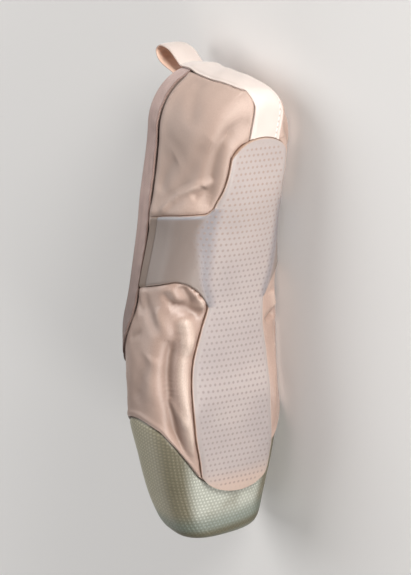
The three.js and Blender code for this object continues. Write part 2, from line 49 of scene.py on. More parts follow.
# The last, in millimetres, as in the part's source: the heel's back at x 0, the toe along +x,
# the outer side of the foot along +y and the top of the foot along +z.
SHOE_LENGTH = 240
HEEL_AXIS = 34
HEEL_SQUARENESS = 2
HEEL_LEAN_FORWARD, HEEL_LEAN_FROM, HEEL_LEAN_TO = 4.8, -4, 12
NOSE_START, NOSE_END = 231, 262
PLATFORM_RIM = 7
SOLE_PLANE_BLEND = 1.5
# Rows of the last: distance from the heel's back, then the columns named here.
SECTION_NAMES = ("mid", "outer", "inner", "low", "wide", "top", "n_out", "n_in", "n_top")
SECTIONS = (
    (34, 0, 29.6, 23, -3, 19, 81, 2.6, 3, 2.15),
    (75, 3, 31, 25.2, 2.5, 22, 79, 2.5, 3, 2.3),
    (110, 3, 36, 30.2, 5, 22.5, 72, 2.5, 3.1, 2.2),
    (145, 4.5, 40, 35.4, 2, 21.5, 62, 2.6, 3.3, 2.2),
    (172, 4.8, 40, 36.4, -3, 20.5, 53, 2.8, 3.3, 2.3),
    (200, 3, 35.5, 34.2, 0, 18.5, 45, 2.8, 3, 2.5),
    (222, 1, 30, 30.5, 2.5, 18.5, 40, 2.7, 2.7, 2.7),
    (240, -1, 23, 26.5, 4.5, 17.5, 36, 2.6, 2.6, 2.7),
)
# Collar: distance from the heel's back, and height. Cap edge: degrees round the section, and distance.
# Tread: distance, and its outer and inner edge. Wing: share of its height, rear, front and thickness.
COLLAR = ((0, 56), (34, 53.5), (75, 48.5), (110, 46.5), (160, 49))
THROAT_START, THROAT_END = 118, 158
CAP_EDGE = ((0, 208), (20, 202.5), (36, 190.5), (50, 181), (67, 174.2), (88, 172.2),
            (110, 176), (140, 186), (180, 191))
TREAD = (
    (28, 16.6, -14.6), (42, 17.6, -15), (52, 19.2, -15), (61, 22, -16), (76, 23.5, -16.5),
    (98, 23.5, -15.5), (112, 20.3, -12.2), (124, 23.4, -12.4), (143, 28.1, -15.3),
    (160, 28.9, -17), (175, 27.2, -18.8), (193, 22.4, -20.8), (212, 17.5, -21),
)
TREAD_HEEL_ROUND, TREAD_TOE_ROUND, TREAD_TOE_SKEW = 10, 12, 1.5
TREAD_THICKNESS, TREAD_EDGE, WING_ROOT_THICKNESS = 2, 1.3, 1.8
WING_REAR, WING_FRONT, WING_END_HEIGHT = 61, 112, 35.6
WING_FLAT_THICKNESS, TAPE_THICKNESS = 1.4, 0.8
WING_STEP = (0.79, 0.815)
WING = (
    (0, 61, 112, 1.8), (0.02, 63.2, 106.2, 1.75), (0.05, 64.6, 102.8, 1.7), (0.11, 65.2, 100.4, 1.6),
    (0.2, 66.1, 99.8, 1.5), (0.32, 67.4, 101.2, 1.4), (0.48, 69, 103.4, 1.4), (0.64, 70.7, 105.4, 1.4),
    (0.79, 72.4, 107.3, 1.4), (0.815, 72.7, 107.6, 0.9), (1, 74.8, 109.8, 0.9),
)
WALL = 2
CAP_RECESS = 1.3
SEAM_GAP = 0.4
LASTING_MARGIN = 9
OPENING_REAR, OPENING_REAR_ROUND, OPENING_FRONT, OPENING_FRONT_ROUND = 40, 16, 197, 26
FLOOR_HEEL, FLOOR_BALL, FLOOR_BLEND, FLOOR_RAMP = (25, -21.8), (150, -29.6), 0.8, 12
# Where the last's origin lies in the part's frame, and how the shoe is laid on its inner side.
PLACE = np.array((121.501, -37.941, 20.204))
SLOPE = math.atan2(FLOOR_BALL[1] - FLOOR_HEEL[1], FLOOR_BALL[0] - FLOOR_HEEL[0])
LAID = np.array((
    (-math.cos(SLOPE), -math.sin(SLOPE), 0),
    (0, 0, 1),
    (-math.sin(SLOPE), math.cos(SLOPE), 0),
))


def to_world(points):
    return (np.asarray(points) @ LAID.T + PLACE) * MM


def mix(a, b, share):
    return a + (b - a) * share


def steps(count):
    return np.linspace(0, 1, count)


def part_of(x, start, end):
    """Share of the way from start to end, kept between 0 and 1."""
    return np.clip((x - start) / (end - start), 0, 1)


def smooth(x, start, end):
    t = part_of(x, start, end)
    return t * t * (3 - 2 * t)


def bell(x, width):
    return np.exp(-((x / width) ** 2))


def soft_min(a, b, size):
    near = np.maximum(size - np.abs(a - b), 0) / size
    return np.minimum(a, b) - near * near * size / 4


def ramp(x, end, run):
    return smooth(x, end - run, end)


def column(rows, index, at):
    """One column of a table as a smooth curve without overshoot, straight past its last row."""
    rows = np.asarray(rows, float)
    x, y = rows[:, 0], rows[:, index]
    secant = np.diff(y) / np.diff(x)
    slope = np.zeros(len(x))
    slope[-1] = secant[-1]
    same = secant[:-1] * secant[1:] > 0
    total = np.where(same, secant[:-1] + secant[1:], 1)
    slope[1:-1] = np.where(same, 2 * secant[:-1] * secant[1:] / total, 0)
    at = np.asarray(at, float)
    i = np.clip(np.searchsorted(x, at, side="right") - 1, 0, len(x) - 2)
    run = x[i + 1] - x[i]
    t = (at - x[i]) / run
    value = mix(y[i], y[i + 1], t * t * (3 - 2 * t))
    value += t * (1 - t) ** 2 * run * slope[i] - t * t * (1 - t) * run * slope[i + 1]
    value = np.where(at <= x[0], y[0], value)
    return np.where(at >= x[-1], y[-1] + slope[-1] * (at - x[-1]), value)


def section_at(q):
    section = {}
    for i, name in enumerate(SECTION_NAMES):
        section[name] = column(SECTIONS, i + 1, np.maximum(q, HEEL_AXIS))
    nose = part_of(q, NOSE_START, NOSE_END)
    shrink = np.sqrt(1 - nose * nose)
    middle = (section["low"] + section["top"]) / 2
    for name in ("low", "wide", "top"):
        section[name] = mix(middle, section[name], shrink)
    for name in ("outer", "inner"):
        section[name] = section[name] * shrink
    return section


def heel_turn(q):
    return part_of(q, HEEL_AXIS, 0) * math.pi / 2


def low_power(side, q, section):
    inner = mix(section["n_out"], section["n_in"], part_of(q, 0, HEEL_AXIS))
    return np.where(side > 0, section["n_out"], inner)


def reach_at(side, q, section):
    width = np.where(side > 0, section["outer"], section["inner"])
    turn = heel_turn(q)
    sideways = (np.cos(turn) / np.maximum(width, 1e-9)) ** HEEL_SQUARENESS
    backwards = (np.sin(turn) / HEEL_AXIS) ** HEEL_SQUARENESS
    return np.where(q >= HEEL_AXIS, width, (sideways + backwards) ** (-1 / HEEL_SQUARENESS))


def inner_limit(x, z):
    share = (x - FLOOR_HEEL[0]) / (FLOOR_BALL[0] - FLOOR_HEEL[0])
    wing = ramp(x, WING_REAR, FLOOR_RAMP) * ramp(-x, -WING_FRONT, FLOOR_RAMP)
    binding = ramp(z, WING_END_HEIGHT, FLOOR_RAMP)
    backing = np.maximum(wing * WING_FLAT_THICKNESS, binding * TAPE_THICKNESS)
    return mix(FLOOR_HEEL[1], FLOOR_BALL[1], share) + np.maximum(wing, binding) * SEAM_GAP + backing


def last_point(side, q, angle):
    section = section_at(q)
    is_low = angle <= math.pi / 2
    power = 2 / np.where(is_low, low_power(side, q, section), section["n_top"])
    out = reach_at(side, q, section) * np.maximum(np.sin(angle), 0) ** power
    rise = np.abs(np.cos(angle)) ** power
    turn = heel_turn(q)
    y = section["mid"] + side * out * np.cos(turn)
    z = mix(section["wide"], np.where(is_low, section["low"], section["top"]), rise)
    behind = out * np.sin(turn)
    lean = HEEL_LEAN_FORWARD * smooth(z, HEEL_LEAN_FROM, HEEL_LEAN_TO)
    x = np.maximum(q, HEEL_AXIS) - behind + lean * behind / HEEL_AXIS
    return np.stack([
        soft_min(x, SHOE_LENGTH, PLATFORM_RIM),
        -soft_min(-y, -inner_limit(x, z), FLOOR_BLEND),
        -soft_min(-z, 0, SOLE_PLANE_BLEND),
    ], -1)


def last_normal(side, q, angle):
    step = 1e-3
    forward = last_point(side, np.minimum(q + step, NOSE_END), angle)
    forward = forward - last_point(side, np.maximum(q - step, 0), angle)
    upward = last_point(side, q, np.minimum(angle + step, math.pi))
    upward = upward - last_point(side, q, np.maximum(angle - step, 0))
    normal = np.cross(upward, forward) * np.asarray(side)[..., None]
    middle = (q <= 0) | (angle < step) | (angle > math.pi - step)
    normal[..., 1] = np.where(middle, 0, normal[..., 1])
    normal = np.where((q >= NOSE_END - step)[..., None], (1, 0, 0), normal)
    normal = np.where(((q <= HEEL_AXIS) & (angle < step))[..., None], (0, 0, -1), normal)
    return normal / np.maximum(np.linalg.norm(normal, axis=-1, keepdims=True), 1e-12)


def raised(place, lift):
    """Points over places on the last. Lift: outwards, in millimetres."""
    return last_point(*place) + last_normal(*place) * np.asarray(lift)[..., None]


def angle_at_height(side, q, height):
    section = section_at(q)
    below = part_of(height, section["wide"], section["low"])
    above = part_of(height, section["wide"], section["top"])
    low = np.arccos(below ** (low_power(side, q, section) / 2))
    high = math.pi - np.arccos(above ** (section["n_top"] / 2))
    return np.where(height < section["wide"], low, high)


def place_under(x, y):
    section = section_at(np.maximum(x, HEEL_AXIS))
    across = np.abs(y - section["mid"])
    side = np.where(y < section["mid"], INNER, OUTER)
    behind = np.maximum(HEEL_AXIS - x, 0)
    turn = np.where(behind > 0, np.arctan2(behind, across), 0)
    q = np.where(behind > 0, HEEL_AXIS * (1 - turn / (math.pi / 2)), x)
    share = np.hypot(behind, across) / reach_at(side, q, section)
    return side, q, np.arcsin(np.minimum(share, 1) ** (low_power(side, q, section) / 2))


def collar_angle(side, q):
    around = np.arcsin(part_of(q, THROAT_START, THROAT_END))
    wall = angle_at_height(side, q, column(COLLAR, 1, q))
    return mix(wall, math.pi, 1 - np.cos(around))


def collar_place(side, share, drop):
    around = np.clip(share - 1, 0, 1) * math.pi / 2
    reach = THROAT_END + drop - THROAT_START
    q = np.where(share < 1, share * THROAT_START, THROAT_START + reach * np.sin(around))
    wall = angle_at_height(side, q, column(COLLAR, 1, q) - drop)
    return side, q, mix(wall, math.pi, 1 - np.cos(around))


def tread_edges(x):
    return column(TREAD, 1, x), column(TREAD, 2, x)


def opening_angle(side, q):
    section = section_at(q)
    half = np.abs(np.where(side > 0, *tread_edges(q)) - section["mid"]) - LASTING_MARGIN
    rear = part_of(q, OPENING_REAR, OPENING_REAR + OPENING_REAR_ROUND)
    front = part_of(q, OPENING_FRONT, OPENING_FRONT - OPENING_FRONT_ROUND)
    close = np.sin(rear * math.pi / 2) * np.sin(front * math.pi / 2)
    share = np.clip(half * close / reach_at(side, q, section), 0, 1)
    return np.arcsin(share ** (low_power(side, q, section) / 2))


def cap_edge(angle):
    return column(CAP_EDGE, 1, np.degrees(angle))


def toe_distance(angle, past, share):
    """Distance along the toe box. Share: 0 at the cap's edge, 1 at the nose, 2 in the platform's middle."""
    wall = mix(cap_edge(angle) + past, NOSE_START, share)
    return np.where(share < 1, wall, mix(NOSE_START, NOSE_END, share - 1))


def round_end(across):
    """How far a round end falls back from its tip. Across: -1 to 1."""
    return 1 - np.sqrt(np.maximum(1 - across ** 2, 0))


def tread_rear(across):
    return TREAD[0][0] + TREAD_HEEL_ROUND * round_end(across)


def tread_front(across):
    return TREAD[-1][0] - TREAD_TOE_ROUND * round_end(across) - TREAD_TOE_SKEW * across


def tread_place(x, across):
    outer, inner = tread_edges(x)
    return place_under(x, mix(inner, outer, (across + 1) / 2))


# Meshes. A block is a grid of points with what goes with each point.
def grid_faces(rows, columns, start):
    at = np.arange(rows * columns).reshape(rows, columns) + start
    return np.stack([at[:-1, :-1], at[:-1, 1:], at[1:, 1:], at[1:, :-1]], -1).reshape(-1, 4)


def run_length(points, axis=0):
    """Length from the first point on, along one axis of a grid."""
    steps = np.linalg.norm(np.diff(points, axis=axis), axis=-1)
    return np.insert(np.cumsum(steps, axis=axis), 0, 0, axis=axis)


def arc_uv(points):
    """Lengths along the columns and along the rows of a grid, in millimetres."""
    u = run_length(points).mean(1, keepdims=True)
    return np.stack(np.broadcast_arrays(u, run_length(points, axis=1)), -1)


def gather(blocks, key):
    return np.concatenate([block[key].reshape(-1, block[key].shape[-1]) for block in blocks])


def add_object(name, data):
    added = bpy.data.objects.new(name, data)
    scene.collection.objects.link(added)
    return added


def make_piece(name, blocks, node, flip=False, weld=0.004, sharp=40):
    """A smooth piece from grids: 'point' and 'uv', a 'rim' of points under open edges, and 'fields'."""
    faces = []
    start = 0
    for block in blocks:
        rows, columns = block["point"].shape[:2]
        quads = grid_faces(rows, columns, start)
        faces.append(quads[:, ::-1] if flip != block.get("flip", False) else quads)
        start += rows * columns
    mesh = bpy.data.meshes.new(name)
    mesh.from_pydata(to_world(gather(blocks, "point")).tolist(), [], np.concatenate(faces).tolist())
    corner = np.empty(len(mesh.loops), np.int32)
    mesh.loops.foreach_get("vertex_index", corner)
    uv = gather(blocks, "uv")[corner].astype(np.float32)
    mesh.uv_layers.new(name="mm").data.foreach_set("uv", uv.ravel())
    for key in blocks[0].get("fields", ()):
        values = []
        for block in blocks:
            values.append(np.broadcast_to(block["fields"][key], block["point"].shape[:2]).ravel())
        values = np.concatenate(values).astype(np.float32)
        mesh.attributes.new(key, "FLOAT", "POINT").data.foreach_set("value", values)
    has_rim = "rim" in blocks[0]
    if has_rim:
        rim = to_world(gather(blocks, "rim")).astype(np.float32)
        mesh.attributes.new("below", "FLOAT_VECTOR", "POINT").data.foreach_set("vector", rim.ravel())
    shape = bmesh.new()
    shape.from_mesh(mesh)
    bmesh.ops.remove_doubles(shape, verts=shape.verts, dist=weld * MM)
    bmesh.ops.dissolve_degenerate(shape, edges=shape.edges, dist=weld * MM / 10)
    if has_rim:
        wall_rim(shape)
    shape.to_mesh(mesh)
    shape.free()
    if has_rim:
        mesh.attributes.remove(mesh.attributes["below"])
    mesh.shade_smooth()
    mesh.set_sharp_from_angle(angle=math.radians(sharp))
    piece = add_object(name, mesh)
    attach(piece, "root")
    if node:
        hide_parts(node)
    return piece


def wall_rim(shape):
    """Walls from the open edges down to the points below them. Their field 'rim', if any, is 2."""
    below = shape.verts.layers.float_vector["below"]
    rim = shape.verts.layers.float.get("rim")
    uv_layer = shape.loops.layers.uv.active
    edges = [edge for edge in shape.edges if len(edge.link_faces) == 1]
    twins = {}
    for vert in dict.fromkeys(vert for edge in edges for vert in edge.verts):
        twin = shape.verts.new(vert[below], vert)
        twin.co = vert[below]
        if rim:
            twin[rim] = 2
        twins[vert] = twin
    for edge in edges:
        loop = edge.link_loops[0]
        first, second = loop.vert, loop.link_loop_next.vert
        uv_first, uv_second = loop[uv_layer].uv.copy(), loop.link_loop_next[uv_layer].uv.copy()
        wall = shape.faces.new((second, first, twins[first], twins[second]), edge.link_faces[0])
        for corner, uv in zip(wall.loops, (uv_second, uv_first, uv_first, uv_second)):
            corner[uv_layer].uv = uv


# Folds of the satin, listed one by one. Lift: in millimetres, negative for a trough. Width: of half the
# fold.
# Places: distance from the heel's back, and degrees round the section from the middle of the sole.
OUTER_FOLDS = (
    (-2.5, 3.8, ((12, 33), (19, 37), (26, 41), (34, 47), (42, 50), (50, 49), (58, 45), (66, 41))),
    (-0.9, 4.5, ((9, 24), (15, 26), (22, 30), (30, 34))),
    (-1.3, 5.0, ((28, 60), (33, 67), (44, 77), (54, 85), (64, 92), (70, 95))),
    (1.8, 2.0, ((47, 48), (49, 52), (53, 70), (59, 88), (66, 93), (73, 95))),
    (-1.4, 2.0, ((51, 55), (54, 60), (58, 68))),
    (-0.9, 4.0, ((42, 95), (46, 97), (56, 100), (62, 101))),
    (-0.8, 4.5, ((8, 100), (13, 98), (20, 92), (27, 88))),
    (-1.1, 2.2, ((106, 78), (109, 72), (111, 66), (113, 60))),
    (-2.4, 2.8, ((113, 66), (112, 54), (113, 45), (115, 34), (116, 24))),
    (-1.8, 2.6, ((101, 56), (104, 49), (108, 42), (113, 37))),
    (-0.9, 3.4, ((111, 98), (117, 94), (122, 88), (128, 70))),
    (-0.8, 2.4, ((111, 107), (116, 103), (122, 96))),
    (-3.4, 4.2, ((124, 51), (129, 51), (133, 53), (139, 54), (147, 55), (158, 53), (166, 50), (173, 47),
                 (180, 44), (187, 39), (193, 34))),
    (-0.8, 2.2, ((139, 113), (137, 110), (133, 102), (129, 94))),
    (1.7, 2.6, ((101, 44), (105, 36), (110, 30), (116, 27))),
    (3.0, 3.6, ((117, 46), (122, 42), (127, 39), (137, 37))),
    (2.6, 3.8, ((126, 43), (134, 43), (142, 43), (153, 42), (164, 39), (174, 35), (184, 32), (193, 27))),
    (0.9, 3.2, ((115, 86), (119, 78), (124, 65), (129, 57))),
    (0.8, 2.0, ((103, 68), (107, 59), (111, 54))),
    (0.8, 2.4, ((137, 33), (149, 33), (161, 33), (174, 28), (187, 24))),
    (1.2, 1.6, ((157, 54), (163, 47), (168, 41), (173, 37))),
    (-0.9, 5.0, ((140, 84), (152, 92), (166, 96))),
    (0.8, 5.0, ((138, 74), (150, 78), (163, 78))),
    (-0.9, 4.0, ((164, 118), (166, 140), (166, 165), (166, 180))),
    (-0.8, 2.2, ((140, 128), (150, 136), (160, 140))),
)
INNER_FOLDS = (
    (1.5, 3.0, ((112, 38), (117, 40), (122, 44))),
    (-1.8, 2.2, ((124, 44), (125, 32), (127, 22))),
    (0.8, 3.0, ((130, 36), (148, 37), (166, 33), (180, 28))),
    (-1.8, 3.4, ((128, 54), (142, 57), (158, 57), (172, 50))),
    (-2.0, 3.2, ((14, 34), (26, 40), (38, 48), (50, 47), (60, 44))),
    (-1.0, 2.6, ((111, 76), (121, 70), (132, 64))),
    (-0.9, 4.0, ((164, 118), (167, 140), (166, 165), (166, 180))),
    (-0.8, 2.2, ((138, 126), (149, 135), (160, 138))),
)
FOLD_SAMPLES = 48
FOLD_LOBE, FOLD_FALL, FOLD_REACH, FOLD_FADE = 0.2, 1.2, 3, (-0.02, 0.25)


def fold_line(side, places):
    """A fold's line on the last, as points in space."""
    places = np.asarray(places, float)
    knots = steps(len(places))
    share = steps(FOLD_SAMPLES)
    rows = [np.column_stack([knots, places[:, i]]) for i in (0, 1)]
    q, degrees = (column(row, 1, share) for row in rows)
    return last_point(side, q, np.radians(degrees))


def near_line(points, line, reach):
    """Distance from each point to a line of samples, and the share of the line where it is nearest."""
    distance = np.full(len(points), FAR)
    share = np.zeros(len(points))
    low, high = line.min(0) - reach, line.max(0) + reach
    near = np.flatnonzero(((points > low) & (points < high)).all(1))
    if len(near):
        gaps = np.linalg.norm(points[near, None] - line[None], axis=-1)
        nearest = gaps.argmin(1)
        distance[near] = gaps[np.arange(len(near)), nearest]
        share[near] = nearest / (len(line) - 1)
    return distance, share


def fold_lift(points):
    flat = points.reshape(-1, 3)
    lift = np.zeros(len(flat))
    for side, folds in ((OUTER, OUTER_FOLDS), (INNER, INNER_FOLDS)):
        for height, width, places in folds:
            distance, share = near_line(flat, fold_line(side, places), FOLD_REACH * width)
            fade = smooth(np.minimum(share, 1 - share), *FOLD_FADE)
            across = (distance / width) ** 2
            lift += height * fade * (1 - FOLD_LOBE * across) * np.exp(-across / FOLD_FALL)
    return lift.reshape(points.shape[:-1])


# Where the outsole covers the satin: lines along its edge, and how far a point lies outside it.
TREAD_CORNER = 0.98
UNDERSIDE_TOP = 20


def sole_lines():
    ends = np.linspace(0, TREAD_CORNER, 40)
    up = steps(50)
    lines = []
    for side in SIDES:
        across = np.concatenate([ends * side, np.full(40, side)])
        x = np.concatenate([tread_rear(ends), np.linspace(tread_rear(TREAD_CORNER), WING_REAR, 40)])
        lines.append(last_point(*tread_place(x, across)))
        across = np.concatenate([np.full(120, side), ends[::-1] * side])
        side_front = np.linspace(WING_FRONT, tread_front(TREAD_CORNER * side), 120)
        x = np.concatenate([side_front, tread_front(ends[::-1] * side)])
        lines.append(last_point(*tread_place(x, across)))
        for index in (1, 2):
            q = column(WING, index, up)
            lines.append(last_point(side, q, wing_angle(side, q, up)))
    return lines


def wing_angle(side, q, up):
    root = last_point(*tread_place(q, np.full(np.shape(q), float(side))))[..., 2]
    return angle_at_height(side, q, mix(root, WING_END_HEIGHT, up))


def outside_sole(side, q, points):
    """True where the satin isn't under the outsole."""
    x, y, z = np.moveaxis(points, -1, 0)
    outer, inner = tread_edges(x)
    across = np.clip((y - inner) / (outer - inner) * 2 - 1, -1, 1)
    under = (y < outer) & (y > inner) & (x > tread_rear(across)) & (x < tread_front(across))
    root = last_point(*tread_place(q, side))[..., 2]
    up = part_of(z, root, WING_END_HEIGHT)
    wing = (q > column(WING, 1, up)) & (q < column(WING, 2, up)) & (z < WING_END_HEIGHT)
    return ~(under & (z < UNDERSIDE_TOP) | wing)


# Rolls of the satin beside what is sewn on it: height, and distance of the crest from the edge.
# Clear: the stretch, from each neighbour's edge on, where the folds and waves come in.
SOLE_ROLL, SOLE_ROLL_AT, SOLE_ROLL_REACH = 1.1, 3.2, 12
STRIP_ROLL, STRIP_ROLL_AT = 0.9, 1.6
TAPE_ROLL, TAPE_ROLL_AT, TAPE_EDGE = 0.6, 14, 9.8
SEAM_SHADE_WIDTH = 0.6
CLEAR_OF_SOLE, CLEAR_OF_STRIP, CLEAR_OF_CAP, CLEAR_OF_TAPE = (0.3, 3), (0, 4), (1, 8), (9, 13)


def roll_beside(distance, at):
    """A soft roll that starts at an edge and is highest a little away from it."""
    return distance / at * np.exp(1 - distance / at) * bell(distance, 3 * at)


def sole_puff(side, q, points):
    """The satin's roll beside the outsole's edge, the distance from that edge, and the painted shade along
    that edge.
    """
    flat = points.reshape(-1, 3)
    distance = np.full(len(flat), FAR)
    for line in sole_lines():
        distance = np.minimum(distance, near_line(flat, line, SOLE_ROLL_REACH)[0])
    distance = distance.reshape(points.shape[:-1])
    away = np.where(outside_sole(side, q, points), distance, 0)
    return SOLE_ROLL * roll_beside(away, SOLE_ROLL_AT), away, bell(distance, SEAM_SHADE_WIDTH)


# Upper: the satin outside. Cap turn: rows of its edge, how far past the cap's edge and how deep.
ANGLE_PASSES = 14
WAVE_HEIGHT = 0.16
CAP_LIP = 0.5
CAP_TURN = ((0.15, -0.2), (0.3, 0.5), (0.3, 1.4))


def upper_grid(rows_open, rows_vamp, columns):
    """Sides, distances and angles of the shell, from the inner cap edge round the heel to the outer one."""
    row = np.arange(2 - rows_open - rows_vamp, rows_open + rows_vamp - 1)[:, None]
    start = THROAT_END * np.minimum(np.abs(row) / (rows_open - 1), 1)
    to_cap = np.maximum(np.abs(row) - rows_open + 1, 0) / (rows_vamp - 1)
    side = np.where(row < 0, INNER, OUTER)
    across = steps(columns)
    angle = across * math.pi + 0 * start
    for _ in range(ANGLE_PASSES):
        q = mix(start, cap_edge(angle), to_cap)
        angle = mix(opening_angle(side, q), collar_angle(side, q), across)
    q = mix(start, cap_edge(angle), to_cap)
    return side + 0 * angle, q, angle


def small_waves(points):
    """Low, slow waves that keep cloth from being perfectly smooth."""
    x, y, z = np.moveaxis(points, -1, 0)
    wave = np.sin(0.21 * x + 0.13 * z + 1.1) * np.sin(0.17 * y - 0.11 * z + 0.4)
    wave += 0.6 * np.sin(0.39 * x - 0.23 * y + 2.2) * np.sin(0.31 * z + 0.19 * x)
    return WAVE_HEIGHT * wave


def beside_strip(points):
    """Sideways distance from the heel strip's edge, negative under the strip."""
    x, y, z = np.moveaxis(points, -1, 0)
    under = mix(STRIP_SHIFT_END, STRIP_SHIFT_SOLE, part_of(x, STRIP_UNDER_END, TREAD[0][0]))
    shift = np.where(z < STRIP_CLIMB[0][0], under, column(STRIP_CLIMB, 1, z))
    return np.where(x < TREAD[0][0] + 2, np.abs(y - shift) - STRIP_HALF_WIDTH, FAR)


def upper_piece():
    place = upper_grid(230, 34, 150)
    side, q, angle = place
    base = last_point(*place)
    puff, sole_gap, seam_shade = sole_puff(side, q, base)
    below_tape = np.where(q < THROAT_END, column(COLLAR, 1, q) - base[..., 2], FAR)
    beside_tape = smooth(THROAT_START - q, -12, 0)
    tape = bell(below_tape - TAPE_ROLL_AT, 2.5) - bell(below_tape - TAPE_EDGE, 1.5)
    strip_gap = beside_strip(base)
    beside = roll_beside(np.maximum(strip_gap, 0), STRIP_ROLL_AT) * smooth(below_tape, 4, 10)
    to_cap = cap_edge(angle) - q
    clear = smooth(strip_gap, *CLEAR_OF_STRIP)
    free = smooth(sole_gap, *CLEAR_OF_SOLE) * clear * smooth(to_cap, *CLEAR_OF_CAP)
    free = free * smooth(below_tape, *CLEAR_OF_TAPE)
    folds = free * fold_lift(base)
    lift = (puff + TAPE_ROLL * beside_tape * tape) * clear + folds + free * small_waves(base)
    lift = lift + STRIP_ROLL * beside + CAP_LIP * bell(to_cap - 1.6, 1.4)
    # Painted shade: a dark line along the seams at the outsole's edge, the heel strip and the tape.
    seam_shade = np.maximum(seam_shade, bell(strip_gap, SEAM_SHADE_WIDTH))
    seam_shade = np.maximum(seam_shade, beside_tape * bell(below_tape - TAPE_EDGE, 0.8))
    point = raised(place, lift)
    uv = arc_uv(base)
    blocks = [{"point": point, "uv": uv, "fields": {"seam_shade": seam_shade, "fold": folds}}]
    for row, order in ((0, -1), (-1, 1)):
        edge = [point[row]]
        for past, depth in CAP_TURN:
            edge.append(raised((side[row], cap_edge(angle[row]) + past, angle[row]), -depth))
        edge = np.stack(edge[::order])
        # Painted shade, darkest deep in the recess under the satin's lip at the toe cap.
        dark = steps(len(edge))[::order, None]
        blocks.append({"point": edge, "uv": np.broadcast_to(uv[row], edge.shape[:2] + (2,)),
                       "fields": {"seam_shade": dark, "fold": 0}})
    return make_piece("satin_upper", blocks, "upper", sharp=70)


# Outsole: tread and wings in one sheet. The rows of dots lean a little across the sole.
DOT_LEAN = 0.058
DOT_PITCH = (3.0, 2.65)
DOT_MARGIN = (1.6, 3.4)
PEACH_TOE = (196, 209)
WING_COLUMNS = 56


def dot_uv(x, y):
    return np.stack([x + DOT_LEAN * y, y], -1)


def tread_block():
    across = np.sin(np.linspace(-1, 1, 61) * math.pi / 2)
    heel = mix(tread_rear(across), WING_REAR, steps(50)[:-1, None])
    waist = np.linspace(WING_REAR, WING_FRONT, WING_COLUMNS)[:, None] + 0 * across
    fore = mix(WING_FRONT, tread_front(across), steps(100)[1:, None])
    x = np.concatenate([heel, waist, fore])
    share = across + 0 * x
    place = tread_place(x, share)
    base = last_point(*place)
    is_root = (x >= WING_REAR) & (x <= WING_FRONT)
    edge_thickness = np.where(is_root, WING_ROOT_THICKNESS, TREAD_EDGE)
    thick = mix(edge_thickness, TREAD_THICKNESS, smooth(1 - np.abs(share), 0, 0.12))
    outer, inner = tread_edges(x)
    inside = (1 - np.abs(share)) * (outer - inner) / 2
    inside = np.minimum(inside, np.minimum(x - tread_rear(share), tread_front(share) - x))
    inside = np.where(is_root, FAR, inside)
    # Painted shade in a band where the tread turns up into the wings.
    fields = {"dots": smooth(inside, *DOT_MARGIN), "rim": 1 - smooth(inside, 0.2, 1.6),
              "bend_shade": np.where(is_root, smooth(np.abs(share), 0.72, 1), 0),
              "wing": 0, "lip": 0, "toe": smooth(base[..., 0], *PEACH_TOE)}
    return {"point": raised(place, SEAM_GAP + thick), "rim": base,
            "uv": dot_uv(base[..., 0], base[..., 1]), "fields": fields}


def wing_block(side):
    up = np.concatenate([np.linspace(0, WING_STEP[0], 44), np.linspace(WING_STEP[1], 1, 9)])[:, None]
    share = steps(WING_COLUMNS)
    rear, front = column(WING, 1, up), column(WING, 2, up)
    q = mix(rear, front, share)
    place = (side, q, wing_angle(side, q, up))
    base = last_point(*place)
    edge = np.where(up > 0, np.minimum(share, 1 - share) * (front - rear), FAR)
    rows = np.asarray(WING)
    thick = np.interp(up, rows[:, 0], rows[:, 3]) * mix(0.6, 1, smooth(edge, 0, 0.8))
    rise = run_length(base)
    thin = up > WING_STEP[0]
    lip = (1 - smooth(share * (front - rear), 0.9, 2.2)) * smooth(rise, 2, 8) * ~thin
    # Painted shade in a band where the wing rises from the tread.
    fields = {"dots": (1 - smooth(rise, 1, 10)) * smooth(edge, *DOT_MARGIN),
              "rim": 1 - smooth(edge, 0.2, 1.4), "bend_shade": 1 - smooth(rise, 1, 8),
              "wing": smooth(rise, 1, 8) + thin, "lip": lip, "toe": 0}
    return {"point": raised(place, SEAM_GAP + thick), "rim": base, "flip": side > 0,
            "uv": dot_uv(base[..., 0], base[:1, :, 1] + side * rise), "fields": fields}


def outsole_piece():
    blocks = [tread_block()] + [wing_block(side) for side in SIDES]
    return make_piece("moulded_outsole", blocks, "outsole", flip=True, sharp=50)


# Toe cap, let into the toe box behind the satin's lip. Its light and shade are painted: palest underneath,
# inside its lower corners, and lighter on its outer flank, where light falls; darker towards the platform;
# a painted shadow along its edge under the satin's lip.
CAP_CORNER = np.radians((24, 44))
CAP_FLANK = np.radians((58, 96))
CAP_PLATFORM = (238, 250)
CAP_GAP, CAP_DEPTH, CAP_EDGE_DEPTH = 0.8, 0.1, 0.9
CAP_SCALE_PITCH = (1.9, 2.1)
CAP_RIM_X = -0.1145


def cap_piece():
    share = np.concatenate([steps(46)[:-1], 1 + steps(30) ** 1.3])[:, None]
    angle = steps(130) * math.pi + 0 * share
    q = toe_distance(angle, CAP_GAP, share)
    from_edge = q - cap_edge(angle)
    depth = mix(CAP_EDGE_DEPTH, CAP_DEPTH, smooth(from_edge, 0.5, 3))
    wall = 1 - smooth(q, *CAP_PLATFORM)
    # Fields: edge, a painted shadow under the satin's lip; under, painted light inside the lower corners;
    # flank, painted light on the outer flank.
    fields = {"edge": np.exp((CAP_GAP - from_edge) / 1.2), "under": wall * (1 - smooth(angle, *CAP_CORNER)),
              "flank": wall * smooth(angle, *CAP_FLANK)}
    blocks = []
    for side in SIDES:
        place = (side, q, angle)
        height = run_length(last_point(*place), axis=1)
        blocks.append({"point": raised(place, -depth), "uv": np.stack([q, side * height], -1),
                       "flip": side > 0, "fields": fields})
    return make_piece("toe_cap_shell", blocks, "toe_cap", sharp=60)


# Collar binding: a woven tape folded over the edge.
BINDING_OUTSIDE, BINDING_INSIDE = 10, 7
BINDING_FACE, BINDING_BACK = 1.2, -3.5
KNOT_PITCH = (0.95, 1.5)


